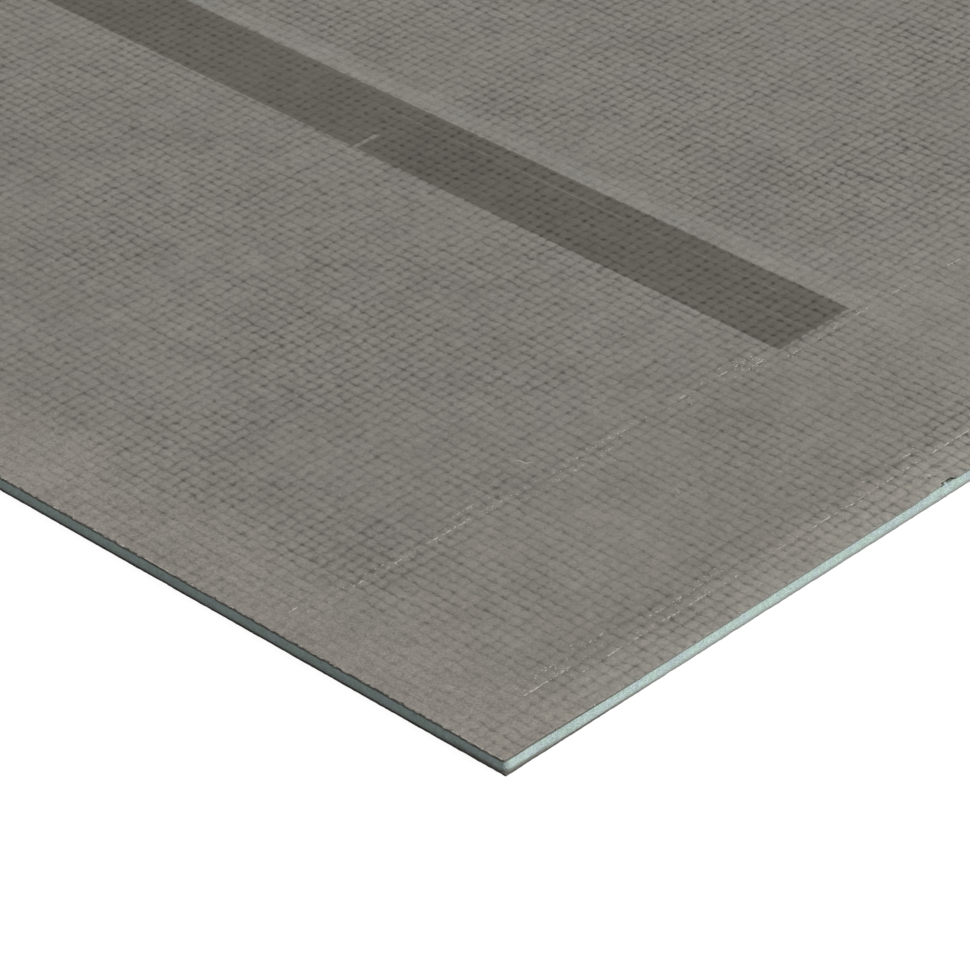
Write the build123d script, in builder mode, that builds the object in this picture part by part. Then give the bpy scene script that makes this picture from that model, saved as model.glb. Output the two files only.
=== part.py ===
from build123d import *
import math
import os

# Foam tile backer board, lying flat with its printed face up. All sizes are in millimetres.
# Origin: centre of the underside. +X runs along the length, +Y across the width, +Z up.

# Driving dimensions of the board
board_length = 1300.0
board_width = 600.0
board_thickness = 6.0
coat_thickness = 1.0  # cement coat on each face, with its glass mesh bedded inside
core_corner_radius = 1.0  # foam corners rubbed soft after sawing
coat_corner_radius = 0.4  # cement corners, worn but still crisp

# Broken bite in the printed face, on the arris of the +X end
bite_from_near_edge = 220.2  # from the -Y edge to the middle of the bite
bite_length = 10.0  # along the end
bite_depth = 1.7  # into the face
bowl_length = 5.0  # crushed foam below the bite, along the end
bowl_offset = 1.0  # from the middle of the bite to the middle of the bowl, towards +Y
bowl_depth = 0.9  # how far the foam is pressed down in the middle of the bowl
bowl_margin = 0.3  # cement is broken back this far beyond the crushed foam

# Sizes worked out from the ones above
core_thickness = board_thickness - 2 * coat_thickness
core_bottom = coat_thickness
core_top = core_bottom + core_thickness
end_x = board_length / 2
bite_y = -board_width / 2 + bite_from_near_edge

# The crushed bowl is a piece of a sphere. Seen from above it is a circle through both ends
# of the bowl and its deepest point inward, so the centre lies outside the end of the board.
bowl_reach = bite_depth - bowl_margin
bowl_plan_radius = (bowl_length**2 / 4 + bowl_reach**2) / (2 * bowl_reach)
bowl_radius = (bowl_plan_radius**2 + bowl_depth**2) / (2 * bowl_depth)
bowl_x = end_x + bowl_plan_radius - bowl_reach
bowl_y = bite_y + bowl_offset
bowl_z = core_top + bowl_radius - bowl_depth

# The broken line of the cement, as shares of half the bite's length and of its depth
bite_outline = [
    (-1.00, 0.00),
    (-0.84, 0.24),
    (-0.44, 0.33),
    (-0.33, 0.92),
    (0.02, 0.84),
    (0.38, 1.00),
    (0.70, 0.90),
    (0.86, 0.30),
    (1.00, 0.00),
]


def bite_point(along, inward):
    """A point of the broken line, in plan."""
    return (end_x - inward * bite_depth, bite_y + along * bite_length / 2)


os.makedirs("parts", exist_ok=True)

# Core: one sheet of foam, sawn square, with soft upright corners
with BuildPart() as foam_core:
    with BuildSketch(Plane.XY.offset(core_bottom)):
        RectangleRounded(board_length, board_width, core_corner_radius)
    extrude(amount=core_thickness)
    # Foam crushed where the cement broke away
    with Locations((bowl_x, bowl_y, bowl_z)):
        Sphere(bowl_radius, mode=Mode.SUBTRACT)
foam_core.part.label = "foam_core"

# Face coat: the cement layer that carries the print, with the bite broken out of its end
with BuildPart() as face_coat:
    with BuildSketch(Plane.XY.offset(core_top)):
        RectangleRounded(board_length, board_width, coat_corner_radius)
        with BuildLine():
            Polyline(*[bite_point(along, inward) for along, inward in bite_outline], close=True)
        make_face(mode=Mode.SUBTRACT)
    extrude(amount=coat_thickness)
face_coat.part.label = "face_coat"

# Back coat: the same layer, whole, on the side that is bonded to the wall or floor
with BuildPart() as back_coat:
    with BuildSketch(Plane.XY):
        RectangleRounded(board_length, board_width, coat_corner_radius)
    extrude(amount=coat_thickness)
back_coat.part.label = "back_coat"

export_step(foam_core.part, "parts/foam_core.step")
export_step(face_coat.part, "parts/face_coat.step")
export_step(back_coat.part, "parts/back_coat.step")

dent_at_end = bowl_depth - bowl_radius + math.sqrt(bowl_radius**2 - (bowl_x - end_x) ** 2)
print(f"foam core {core_thickness:.2f} mm between coats of {coat_thickness:.2f} mm")
print(f"crushed foam is {dent_at_end:.2f} mm deep at the end of the board")
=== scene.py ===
# %% [markdown]
# # A foam tile backer board, lying with its printed face up
#
# The real board is a sandwich. A sheet of teal foam sits between two thin coats of grey cement,
# and each coat has a woven glass mesh bedded in it. The foam gives the thickness, the cement
# gives a surface that tile adhesive grips, and the mesh keeps the cement from cracking.
#
# The CAD model has those three layers as plain solids. This script dresses them: it builds the
# weave of the mesh in the cement, the ragged sawn edges, the bare yarns and the cut foam.

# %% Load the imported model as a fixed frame
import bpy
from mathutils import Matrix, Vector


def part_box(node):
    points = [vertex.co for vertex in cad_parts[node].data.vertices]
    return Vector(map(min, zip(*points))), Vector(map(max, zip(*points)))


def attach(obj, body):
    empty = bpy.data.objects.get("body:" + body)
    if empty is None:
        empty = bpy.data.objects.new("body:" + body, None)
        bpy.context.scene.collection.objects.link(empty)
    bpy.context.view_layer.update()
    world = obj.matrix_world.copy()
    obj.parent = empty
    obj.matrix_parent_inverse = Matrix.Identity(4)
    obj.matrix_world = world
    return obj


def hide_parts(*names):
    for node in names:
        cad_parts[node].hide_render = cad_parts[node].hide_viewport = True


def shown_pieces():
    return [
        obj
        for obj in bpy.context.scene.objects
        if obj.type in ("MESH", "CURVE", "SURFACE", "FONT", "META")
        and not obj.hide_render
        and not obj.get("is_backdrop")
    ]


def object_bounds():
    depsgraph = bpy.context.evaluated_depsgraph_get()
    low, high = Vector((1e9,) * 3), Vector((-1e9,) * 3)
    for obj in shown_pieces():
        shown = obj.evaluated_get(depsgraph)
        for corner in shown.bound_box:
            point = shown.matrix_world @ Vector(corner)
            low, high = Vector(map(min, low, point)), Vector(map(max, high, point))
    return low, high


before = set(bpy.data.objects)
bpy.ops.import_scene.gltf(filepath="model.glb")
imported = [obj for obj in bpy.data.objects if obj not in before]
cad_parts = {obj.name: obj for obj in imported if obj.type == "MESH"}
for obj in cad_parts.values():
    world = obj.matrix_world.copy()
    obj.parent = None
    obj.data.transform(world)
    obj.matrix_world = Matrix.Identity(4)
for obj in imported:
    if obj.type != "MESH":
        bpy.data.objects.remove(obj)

import inspect
import math

import bpy
import numpy as np
from mathutils import Matrix, Vector

cad_low, cad_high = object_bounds()
print("CAD box in metres:", [round(v, 4) for v in cad_low], [round(v, 4) for v in cad_high])

# %% [markdown]
# ## Working in millimetres
#
# Blender works in metres here, but a board maker thinks in millimetres, and so do the cells
# below. The layers' heights are read from the CAD nodes, so nothing can drift from the frame.

# %% Sizes of the layers, in millimetres
MM = 0.001
face_low, face_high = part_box("face_coat")
foam_low, foam_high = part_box("foam_core")
HALF_LENGTH = face_high.x / MM
HALF_WIDTH = face_high.y / MM
FACE_TOP = face_high.z / MM
FACE_BOTTOM = face_low.z / MM
CORE_TOP = foam_high.z / MM
CORE_BOTTOM = foam_low.z / MM
BACK_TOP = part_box("back_coat")[1].z / MM
BITE_MIDDLE = -79.8  # where a piece of the face is broken out of the +X end
BITE_HALF = 5.0
BITE_DEPTH = 1.7
print(f"half length {HALF_LENGTH:.1f}, half width {HALF_WIDTH:.1f}")
print(f"face from {FACE_BOTTOM:.2f} to {FACE_TOP:.2f}, foam from {CORE_BOTTOM:.2f} to {CORE_TOP:.2f}")

# %% [markdown]
# ## The camera
#
# The photograph looks down on one corner of the board through a long lens. A camera can be
# placed by eye, or worked out from something of known size. Here the mesh is that thing: its
# squares repeat evenly, so the way they shrink with distance gives the viewpoint. What is left
# is a point to aim at, a direction, a distance, a small roll and a focal length.

# %% Aim the camera
AIM = Vector((532.65, -189.22, 6.0)) * MM
DISTANCE = 1605.30 * MM
AZIMUTH = -44.757
ELEVATION = 33.216
ROLL = math.radians(-1.617)
LENS = 171.08


def direction(azimuth, elevation):
    """A vector of length 1 that points so many degrees round and up."""
    around, rise = math.radians(azimuth), math.radians(elevation)
    return Vector((math.cos(rise) * math.cos(around), math.cos(rise) * math.sin(around), math.sin(rise)))


def new_object(name, data):
    """Makes an object and puts it in the scene."""
    made = bpy.data.objects.new(name, data)
    bpy.context.scene.collection.objects.link(made)
    return made


back = direction(AZIMUTH, ELEVATION)
level_right = direction(AZIMUTH + 90.0, 0.0)
level_up = back.cross(level_right)
right = level_right * math.cos(ROLL) + level_up * math.sin(ROLL)
up = level_up * math.cos(ROLL) - level_right * math.sin(ROLL)

camera_data = bpy.data.cameras.new("Camera")
camera_data.lens = LENS
camera_data.sensor_width = 36.0
camera_data.clip_start = 0.05
camera_data.clip_end = 50.0
camera = new_object("Camera", camera_data)
turned = Matrix((right, up, back)).transposed().to_4x4()
camera.matrix_world = Matrix.Translation(AIM + back * DISTANCE) @ turned
bpy.context.scene.camera = camera
bpy.context.scene.view_settings.view_transform = "Standard"
print("camera at", [round(v, 3) for v in camera.matrix_world.translation])

# %% [markdown]
# ## Shader graphs that read like formulas
#
# A procedural material is a graph of small nodes. Building it by hand takes a line for each
# node and each wire, which hides the idea. So a node's output is wrapped as a Wire here, and
# adding or multiplying wires adds Math nodes to their tree. Plain numbers can stand in for them.

# %% Wires that can be added and multiplied
class Wire:
    """The output of a node, with the tree that it is in."""

    def __init__(self, socket):
        self.socket = socket
        self.tree = socket.id_data

    def __add__(self, other):
        return maths("ADD", self, other)

    def __sub__(self, other):
        return maths("SUBTRACT", self, other)

    def __rsub__(self, other):
        return maths("SUBTRACT", other, self)

    def __mul__(self, other):
        return maths("MULTIPLY", self, other)

    def __truediv__(self, other):
        return maths("DIVIDE", self, other)

    def __abs__(self):
        return maths("ABSOLUTE", self)


def plug(socket, value):
    """Gives a socket a wire, a number, a vector, or a colour, which gets full opacity."""
    if isinstance(value, Wire):
        value.tree.links.new(value.socket, socket)
    else:
        socket.default_value = (*value, 1.0) if socket.type == "RGBA" else value


def add_node(kind, inputs, tree=None, **settings):
    """Adds a node to a tree, or else to that of its wires. Gives the wires that leave it."""
    if tree is None:
        tree = next(value.tree for value in inputs.values() if isinstance(value, Wire))
    node = tree.nodes.new("ShaderNode" + kind)
    for name, setting in settings.items():
        setattr(node, name, setting)
    for socket, value in inputs.items():
        plug(node.inputs[socket], value)
    return {key: Wire(out) for number, out in enumerate(node.outputs) for key in (number, out.name)}


# %% Calls for the nodes that are used most
def maths(operation, *values):
    """One Math node."""
    return add_node("Math", dict(enumerate(values)), operation=operation)[0]


def maximum(largest, *others):
    """The largest of some wires."""
    for other in others:
        largest = maths("MAXIMUM", largest, other)
    return largest


def fade(value, start, end, low=0.0, high=1.0):
    """Goes smoothly from low to high while the value goes from start to end."""
    inputs = {"Value": value, "From Min": start, "From Max": end, "To Min": low, "To Max": high}
    return add_node("MapRange", inputs, interpolation_type="SMOOTHSTEP")[0]


def noise(vector, size, detail=2.0, roughness=0.5):
    """Cloudy noise around 0.5, with blobs of about that size in millimetres."""
    inputs = {"Vector": vector, "Scale": 1.0 / size, "Detail": detail, "Roughness": roughness}
    return add_node("TexNoise", inputs)[0]


def axes(vector):
    """The three parts of a vector or a colour."""
    parts = add_node("SeparateXYZ", {0: vector})
    return parts[0], parts[1], parts[2]


def vector_of(x, y, z):
    """Three wires as one vector."""
    return add_node("CombineXYZ", {0: x, 1: y, 2: z})[0]


def blend(share, first, second, kind="MIX"):
    """Mixes two colours."""
    inputs = {0: share, 6: first, 7: second}
    return add_node("Mix", inputs, data_type="RGBA", blend_type=kind)[2]


def times(colour, *gains):
    """A colour multiplied by others."""
    for gain in gains:
        colour = blend(1.0, colour, gain, "MULTIPLY")
    return colour


def paint_over(tone, *coats):
    """Lays coats over a tone. Each coat has a share from 0 to 1 and a colour."""
    for share, paint in coats:
        tone = blend(share, tone, paint)
    return tone


# %% Groups and materials
def make_group(name, build):
    """Turns a function into a shader group, and gives a function that places that group.

    The parameters of build are the sockets that enter the group, and those without a start
    value are vectors. What build gives are the sockets that leave it.
    """
    tree = bpy.data.node_groups.new(name, "ShaderNodeTree")
    signature = inspect.signature(build)
    labels = {key: key.replace("_", " ").capitalize() for key in signature.parameters}

    def add_socket(label, side, kind):
        return tree.interface.new_socket(name=label, in_out=side, socket_type="NodeSocket" + kind)

    for key, parameter in signature.parameters.items():
        start = parameter.default
        if start is parameter.empty:
            add_socket(labels[key], "INPUT", "Vector")
        elif isinstance(start, float):
            add_socket(labels[key], "INPUT", "Float").default_value = start
        else:
            add_socket(labels[key], "INPUT", "Color").default_value = (*start, 1.0)
    entry = tree.nodes.new("NodeGroupInput")
    leaving = build(*(Wire(socket) for socket, _ in zip(entry.outputs, labels)))
    for label, wire in leaving.items():
        add_socket(label, "OUTPUT", "Color" if wire.socket.type == "RGBA" else "Float")
    leave = tree.nodes.new("NodeGroupOutput")
    for label, wire in leaving.items():
        plug(leave.inputs[label], wire)
    print(f"group {name} with {len(tree.nodes)} nodes")

    def place_group(*values, **named):
        given = signature.bind(*values, **named).arguments
        return add_node("Group", {labels[key]: value for key, value in given.items()}, node_tree=tree)

    return place_group


def empty_tree(owner):
    """Switches on the nodes of a material or a world, and clears them."""
    owner.use_nodes = True
    owner.node_tree.nodes.clear()
    return owner.node_tree


def make_material(name, specular, depth, build, *values):
    """Makes a material with a fine bump.

    build gets each point's place in millimetres, and gives a colour, a roughness and a height
    from 0 to 1. The depth in millimetres is what that height stands for.
    """
    material = bpy.data.materials.new(name)
    corner = add_node("TexCoord", {}, empty_tree(material))["Object"]
    place = add_node("VectorMath", {0: corner, "Scale": 1.0 / MM}, operation="SCALE")[0]
    tone, roughness, height = build(place, *values)
    grain = add_node("Bump", {"Strength": 1.0, "Distance": depth * MM, "Height": height})[0]
    surface = add_node("BsdfPrincipled", {
        "Base Color": tone, "Roughness": roughness, "Specular IOR Level": specular, "Normal": grain})[0]
    add_node("OutputMaterial", {"Surface": surface})
    print("material:", name)
    return material


# %% [markdown]
# ## The light
#
# The photograph has the flat white surroundings of a shop picture. Its foam tells where the
# light is: the sawn end glows and the long edge is dark, so the lamp is off to the right. One
# large soft sun does that, and a weak even world keeps the dark edge from going black.
#
# The floor should look pure white and still take a shadow. Camera, glossy and transmission rays
# see it glow a little below white, and its own faint reflection of the lamp brings it up to
# white wherever the board doesn't shade it.

# %% A soft sun from the right, and a dim even world
TOWARDS_SUN = direction(25.0, 45.0)
SUN_STRENGTH = 3.77
SUN_WIDTH = math.radians(20.0)
WORLD_LEVEL = 0.15

sun_data = bpy.data.lights.new("Softbox", "SUN")
sun_data.energy = SUN_STRENGTH
sun_data.angle = SUN_WIDTH
sun = new_object("Softbox", sun_data)
sun.rotation_mode = "QUATERNION"
sun.rotation_quaternion = TOWARDS_SUN.to_track_quat("Z", "Y")


def sees_backdrop(tree):
    """1 for the rays that should see a white background: camera, glossy and transmission rays."""
    ray = add_node("LightPath", {}, tree)
    return maximum(ray["Is Camera Ray"], ray["Is Glossy Ray"], ray["Is Transmission Ray"])


world = bpy.data.worlds.new("White surroundings")
bpy.context.scene.world = world
level = fade(sees_backdrop(empty_tree(world)), 0.0, 1.0, WORLD_LEVEL, 1.0)
glow = add_node("Background", {"Color": (1.0, 1.0, 1.0), "Strength": level})[0]
add_node("OutputWorld", {"Surface": glow})
print("sun towards", [round(v, 2) for v in TOWARDS_SUN])

# %% The floor that the board lies on
FLOOR_HALF = 6.0
FLOOR_LEVEL = -0.0001
FLOOR_GLOW = 0.962
FLOOR_GREY = (0.35, 0.35, 0.35)  # what the board's underside sees
FLOOR_SEEN = (0.06, 0.06, 0.06)  # what the camera sees, besides the glow

corners = [(x * FLOOR_HALF, y * FLOOR_HALF, FLOOR_LEVEL) for x, y in ((-1, -1), (1, -1), (1, 1), (-1, 1))]
floor_mesh = bpy.data.meshes.new("Floor")
floor_mesh.from_pydata(corners, [], [(0, 1, 2, 3)])
floor = new_object("Floor", floor_mesh)
floor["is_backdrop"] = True

floor_paint = bpy.data.materials.new("White floor")
seen = sees_backdrop(empty_tree(floor_paint))
matt = add_node("BsdfDiffuse", {"Color": blend(seen, FLOOR_GREY, FLOOR_SEEN)})[0]
lit = add_node("Emission", {"Strength": seen * FLOOR_GLOW})[0]
both = add_node("AddShader", {0: matt, 1: lit})[0]
add_node("OutputMaterial", {"Surface": both})
floor_mesh.materials.append(floor_paint)
print(f"floor of {2 * FLOOR_HALF:.0f} metres")

# %% [markdown]
# ## Where the mesh lies
#
# The glass mesh is a plain open weave, about 4.9 mm from yarn to yarn along the board and 4.7 mm
# across it. The cement is a thin skin on it, so it dips into a shallow groove over each yarn and
# makes a small pillow over each hole.
#
# A bump map could fake that. Real geometry is used instead, so the weave is in the mesh itself. Each
# groove takes three lines of vertices, two at its rims and one along its bottom, and the wide pillow
# between two grooves needs none of its own. That keeps some 33,000 pillows within the number of
# triangles that the board may have.

# %% Smooth seeded noise for moving vertices
TABLE = 256  # random numbers along each side of the noise's table
AWAY = (1000.37, 1000.71)  # keeps the places in the table above zero


def cloud(x, y, size_x, size_y, seed):
    """Smooth noise from 0 to 1 at points in millimetres, with blobs of the given size."""
    table = np.random.default_rng(seed).random((TABLE, TABLE))
    across, along = np.asarray(x) / size_x + AWAY[0], np.asarray(y) / size_y + AWAY[1]
    i, j = np.floor(across).astype(int), np.floor(along).astype(int)
    fx, fy = across - i, along - j
    fx, fy = fx * fx * (3 - 2 * fx), fy * fy * (3 - 2 * fy)

    def row(j):
        return table[i % TABLE, j % TABLE] * (1 - fx) + table[(i + 1) % TABLE, j % TABLE] * fx

    return row(j) * (1 - fy) + row(j + 1) * fy


# %% Lines of vertices for every groove
PITCH_X = 4.94  # from one yarn that runs across the board to the next
PITCH_Y = 4.68  # from one yarn that runs along the board to the next
GROOVE_RIM = 0.25  # from a groove's bottom to its rim, as a share of the pitch
RIM_WIDTH = 2.4  # a strip along the edges that has finer pieces of its own
INNER_X = HALF_LENGTH - RIM_WIDTH
INNER_Y = HALF_WIDTH - RIM_WIDTH


def groove_lines(first, last, pitch, shift, border):
    """Places of the vertex lines, and for each the yarn it belongs to and 1 at a groove's bottom."""
    yarns = np.arange(first, last + 1)
    cells = (yarns[:, None] + np.array([-GROOVE_RIM, 0.0, GROOVE_RIM])).ravel()
    places = np.concatenate([[-border], (cells + shift) * pitch, [border]])
    owner = np.concatenate([[-border], np.repeat((yarns + shift) * pitch, 3), [border]])
    bottom = np.concatenate([[0.0], np.tile([0.0, 1.0, 0.0], len(yarns)), [0.0]])
    return places, owner, bottom


line_x, yarn_x, bottom_x = groove_lines(-131, 130, PITCH_X, 0.5, INNER_X)
line_y, yarn_y, bottom_y = groove_lines(-63, 63, PITCH_Y, 0.0, INNER_Y)
grid_x, grid_y = np.meshgrid(line_x, line_y, indexing="ij")
own_x, own_y = np.meshgrid(yarn_x, yarn_y, indexing="ij")
print(f"{len(line_x)} lines of vertices across the board and {len(line_y)} along it")

# %% [markdown]
# The mesh isn't laid perfectly straight. It drifts by half a millimetre over a hand's width, and
# each yarn also wanders a little on its own. At the outer border the drift fades to nothing, so
# the strip along the edges can join on.

# %% Let the yarns wander
def wander(x, y, seed, broad, own, own_size):
    """A drift that neighbours share, and a smaller one that each yarn has for itself."""
    shared = cloud(x, y, 150.0, 110.0, seed) - 0.5
    single = cloud(x, y, *own_size, seed + 1) - 0.5
    return broad * 2 * shared + own * 2 * single


def stay_at_border(place, border, reach=12.0):
    """0 at the border and 1 from that far inside it."""
    return np.clip((border - np.abs(place)) / reach, 0.0, 1.0)


drift_x = wander(own_x, grid_y, 11, 0.55, 0.28, (PITCH_X * 0.9, 26.0)) * stay_at_border(own_x, INNER_X)
drift_y = wander(grid_x, own_y, 21, 0.45, 0.22, (30.0, PITCH_Y * 0.9)) * stay_at_border(own_y, INNER_Y)
place_x = grid_x + drift_x
place_y = grid_y + drift_y
print(f"yarns wander by up to {np.abs(drift_x).max():.2f} mm and {np.abs(drift_y).max():.2f} mm")

# %% [markdown]
# ## How strongly the mesh shows
#
# The mesh isn't bedded to one depth. It shows well over most of the face, the cross yarns are
# fainter in a band inside each end, and both fade near the long edges where the cement is
# thicker. These strengths are worked out once for every vertex. They set the depth of the
# grooves, and they are stored with the mesh so that the material can darken the same places.

# %% Strength of the grooves at every vertex
def band(distance, start, end, soft):
    """1 between two distances, falling off softly outside them."""
    rise = np.clip((distance - start) / soft + 0.5, 0.0, 1.0)
    fall = np.clip((end - distance) / soft + 0.5, 0.0, 1.0)
    return rise * fall


near_edge = band(HALF_WIDTH - np.abs(grid_y), -50.0, 34.0, 18.0)
faint_band = band(HALF_LENGTH - np.abs(grid_x), 27.0, 96.0, 14.0)
patches = cloud(grid_x, grid_y, 46.0, 38.0, 31)
along_yarn = cloud(grid_x, grid_y, 30.0, 4.2, 32)
across_yarn = cloud(grid_x, grid_y, 4.4, 28.0, 33)
spots = cloud(grid_x, grid_y, 5.0, 4.7, 34)

strength_along = (0.62 + 0.45 * patches + 0.50 * (along_yarn - 0.5)) * (1 - 0.24 * near_edge)
strength_across = (0.62 + 0.45 * patches + 0.60 * (across_yarn - 0.5)) * (1 - 0.42 * near_edge)
strength_across *= 1 - 0.43 * faint_band
strength_spot = (0.10 + 0.25 * patches + 1.30 * spots**2) * (1 - 0.80 * near_edge)
strength_spot *= 1 - 0.65 * faint_band
strengths = np.stack([strength_along, strength_across, strength_spot], axis=-1)
# The far half shows its mesh best, and so does the near end of the printed stripe
bold = 0.20 * np.clip(grid_y / 60.0, 0.0, 1.0)
bold += 0.30 * band(np.abs(grid_y + 34.0), -1.0, 22.0, 3.0) * np.clip((grid_x - 380.0) / 80.0, 0.0, 1.0)
strengths = (strengths * (1 + bold[..., None])).clip(0.0, 1.5)
print("mean strengths:", strengths.reshape(-1, 3).mean(axis=0).round(2))

# %% [markdown]
# The heights follow. A groove is about a tenth of a millimetre deep, and a little deeper where
# two cross. Everything stays just under the top of the CAD box.

# %% Heights and the direction that each vertex faces
PILLOW_TOP = FACE_TOP - 0.05
GROOVE_DEPTH = 0.12
CROSSING_DEPTH = 0.05

dip_along = bottom_y[None, :] * strengths[..., 0]
dip_across = bottom_x[:, None] * strengths[..., 1]
crossing = bottom_x[:, None] * bottom_y[None, :] * strengths[..., 2]
swell = 0.02 * (cloud(grid_x, grid_y, 18.0, 15.0, 41) - 0.5)
height = PILLOW_TOP + swell - GROOVE_DEPTH * np.maximum(dip_along, dip_across) - CROSSING_DEPTH * crossing


def unit(vectors):
    """The same directions with length 1."""
    return vectors / np.maximum(np.linalg.norm(vectors, axis=-1, keepdims=True), 1e-12)


def mean_slope(value, place, axis):
    """The mean of the slopes on both sides of each vertex, along one axis of the grid."""
    slope = np.diff(value, axis=axis) / np.diff(place, axis=axis)
    first = np.concatenate([slope.take([0], axis), slope], axis)
    second = np.concatenate([slope, slope.take([-1], axis)], axis)
    return (first + second) / 2


slopes = -mean_slope(height, place_x, 0), -mean_slope(height, place_y, 1), np.ones_like(height)
normal = unit(np.stack(slopes, axis=-1))
grid_points = np.stack([place_x, place_y, height], axis=-1)
grid_weave = np.stack([grid_x / PITCH_X + 0.5, grid_y / PITCH_Y], axis=-1)
print(f"face heights from {height.min():.3f} to {height.max():.3f} mm")

# %% [markdown]
# ## Shader groups
#
# Several finishes on this board share the same effects: cloudy cement, fine grain, scattered
# specks and the darker lines over the mesh. Each effect is a group of nodes with named sockets,
# built once here. A material then places the groups it needs with its own values.
#
# The first group draws the mesh. It reads the weave's own coordinates, in which every yarn lies
# on a whole number, and the strengths stored with the mesh, so its lines sit in the grooves.

# %% Group: lines and crossings of the mesh
def mesh_lines(vector, weave, strengths, along_width=1.65, across_width=2.05, spot_size=1.7):
    along, across, crossed = axes(strengths)
    ragged = noise(vector, 1.2) - 0.5
    blotch = fade(noise(vector, 2.6), 0.34, 0.66, 0.50, 1.45)
    off = []
    for cell, pitch, size in zip(axes(weave), (PITCH_X, PITCH_Y), (4.3, 5.1)):
        moved = (noise(vector, size, 1.0) - 0.5) * (3.0 / pitch) + cell
        off.append(ragged * 1.2 + abs(moved - maths("ROUND", moved)) * pitch)

    def line(distance, width, strength):
        core = fade(distance, width * 0.5, 0.0, 0.0, 0.6)
        halo = fade(distance, width * 1.25, 0.0, 0.0, 0.4)
        return (core + halo) * blotch * strength

    apart = maths("SQRT", off[0] * off[0] + off[1] * off[1])
    return {
        "Along": line(off[1], along_width, along),
        "Across": line(off[0], across_width, across),
        "Spots": fade(apart, spot_size, 0.2) * crossed,
    }


mesh_grid = make_group("Mesh grid", mesh_lines)

# %% [markdown]
# Trowelled cement isn't one grey. It has broad cloudy patches, a slow drift between a warmer and
# a cooler grey, and a fine sandy grain. The grain also comes out as a height, for a Bump node.

# %% Group: cloudy grey cement
COOL = (0.996, 1.001, 1.008)
WARM = (1.006, 0.999, 0.991)


def trowelled(vector, tone=(0.2, 0.2, 0.2), patches=0.10, grain=0.18):
    sand = noise(vector, 0.9, 2.0, 0.65)
    level = (sand - 0.5) * grain + 1.0
    for size, weight in ((75.0, 0.45), (14.0, 0.6), (5.0, 0.55)):
        level = level + (noise(vector, size) - 0.5) * patches * weight
    cast = blend(fade(noise(vector, 24.0, 3.0, 0.6), 0.36, 0.64), COOL, WARM)
    return {"Colour": times(tone, cast, vector_of(level, level, level)), "Height": sand}


cloudy_cement = make_group("Cloudy cement", trowelled)

# %% [markdown]
# Pinholes, grains of white sand and pits in the foam are all small dots scattered at random.
# A Voronoi texture has one point in each cell, and keeping only some of the cells gives dots as
# rare as the material needs.

# %% Group: scattered dots
def scattered(vector, spacing=10.0, radius=0.4, share=0.5):
    scale = maths("DIVIDE", 1.0, spacing)
    cells = add_node("TexVoronoi", {"Vector": vector, "Scale": scale})
    chance, luck, _ = axes(cells["Color"])
    size = radius * scale * (luck * 0.8 + 0.5)
    return {"Dots": fade(cells["Distance"], size, 0.0) * maths("LESS_THAN", chance, share)}


scattered_dots = make_group("Scattered dots", scattered)


def dots(*values):
    """Where dots lie, as a mask from 0 to 1."""
    return scattered_dots(*values)["Dots"]


# %% [markdown]
# The print is one plain dark stripe that runs along the board, not quite parallel to its edge.
# It has a ragged border where the ink crossed the grooves, a few scraped streaks along it, and
# one short nick that took no ink. Distances across the stripe are measured from its middle line.

# %% Group: the printed stripe
STRIPE_END = 548.7  # where it stops near the +X end
STRIPE_HALF = 19.8
STRIPE_MIDDLE = -33.2  # its middle line there
STRIPE_SLOPE = -0.0110
SOFT = 0.35  # half the width of the ink's soft border
STREAKS = (  # place across the stripe, first x, last x, how much ink is missing
    (10.9, 300.0, 531.0, 0.48), (-1.7, 432.0, 548.0, 0.26), (15.5, 200.0, 307.0, 0.28),
)
NICK = (324.9, -37.0)  # its x, and how far up it reaches


def stripe(vector):
    x, y, _ = axes(vector)
    ragged = noise(vector, 2.2, 3.0, 0.6) - 0.5
    across = y - ((x - STRIPE_END) * STRIPE_SLOPE + STRIPE_MIDDLE)
    ink = fade(ragged * 1.6 + abs(across), STRIPE_HALF + SOFT, STRIPE_HALF - SOFT)
    ink = ink * fade(ragged * 1.6 + abs(x), STRIPE_END + SOFT, STRIPE_END - SOFT)
    broken = fade(noise(vector, 9.0), 0.40, 0.56)
    for middle, first, last, lost in STREAKS:
        line = fade(ragged * 0.5 + abs(across - middle), 0.55, 0.1)
        run = fade(x, first - 12.0, first + 12.0) * fade(x, last + 2.0, last - 2.0)
        ink = ink * (1.0 - line * run * broken * lost)
    nick = fade(ragged * 1.2 + abs(x - NICK[0]), 1.25, 0.85) * fade(y, NICK[1] + 0.6, NICK[1] - 0.6)
    # The cement just above the stripe is smoother, with hardly any mesh showing
    above = ragged * 8.0 + across
    smooth = fade(above, 17.0, 22.0) * fade(above, 35.0, 27.0) * fade(abs(x), 575.0, 540.0)
    return {"Ink": ink * (1.0 - nick), "Smooth band": smooth}


printed_stripe = make_group("Printed stripe", stripe)

# %% [markdown]
# The next groups are for the borders and the foam. Near the long edges and at the very ends the
# cement is a little lighter and warmer. And sawn foam is a crowd of tiny opened cells, half a
# millimetre across, in a teal that drifts between greener and bluer.

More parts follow.
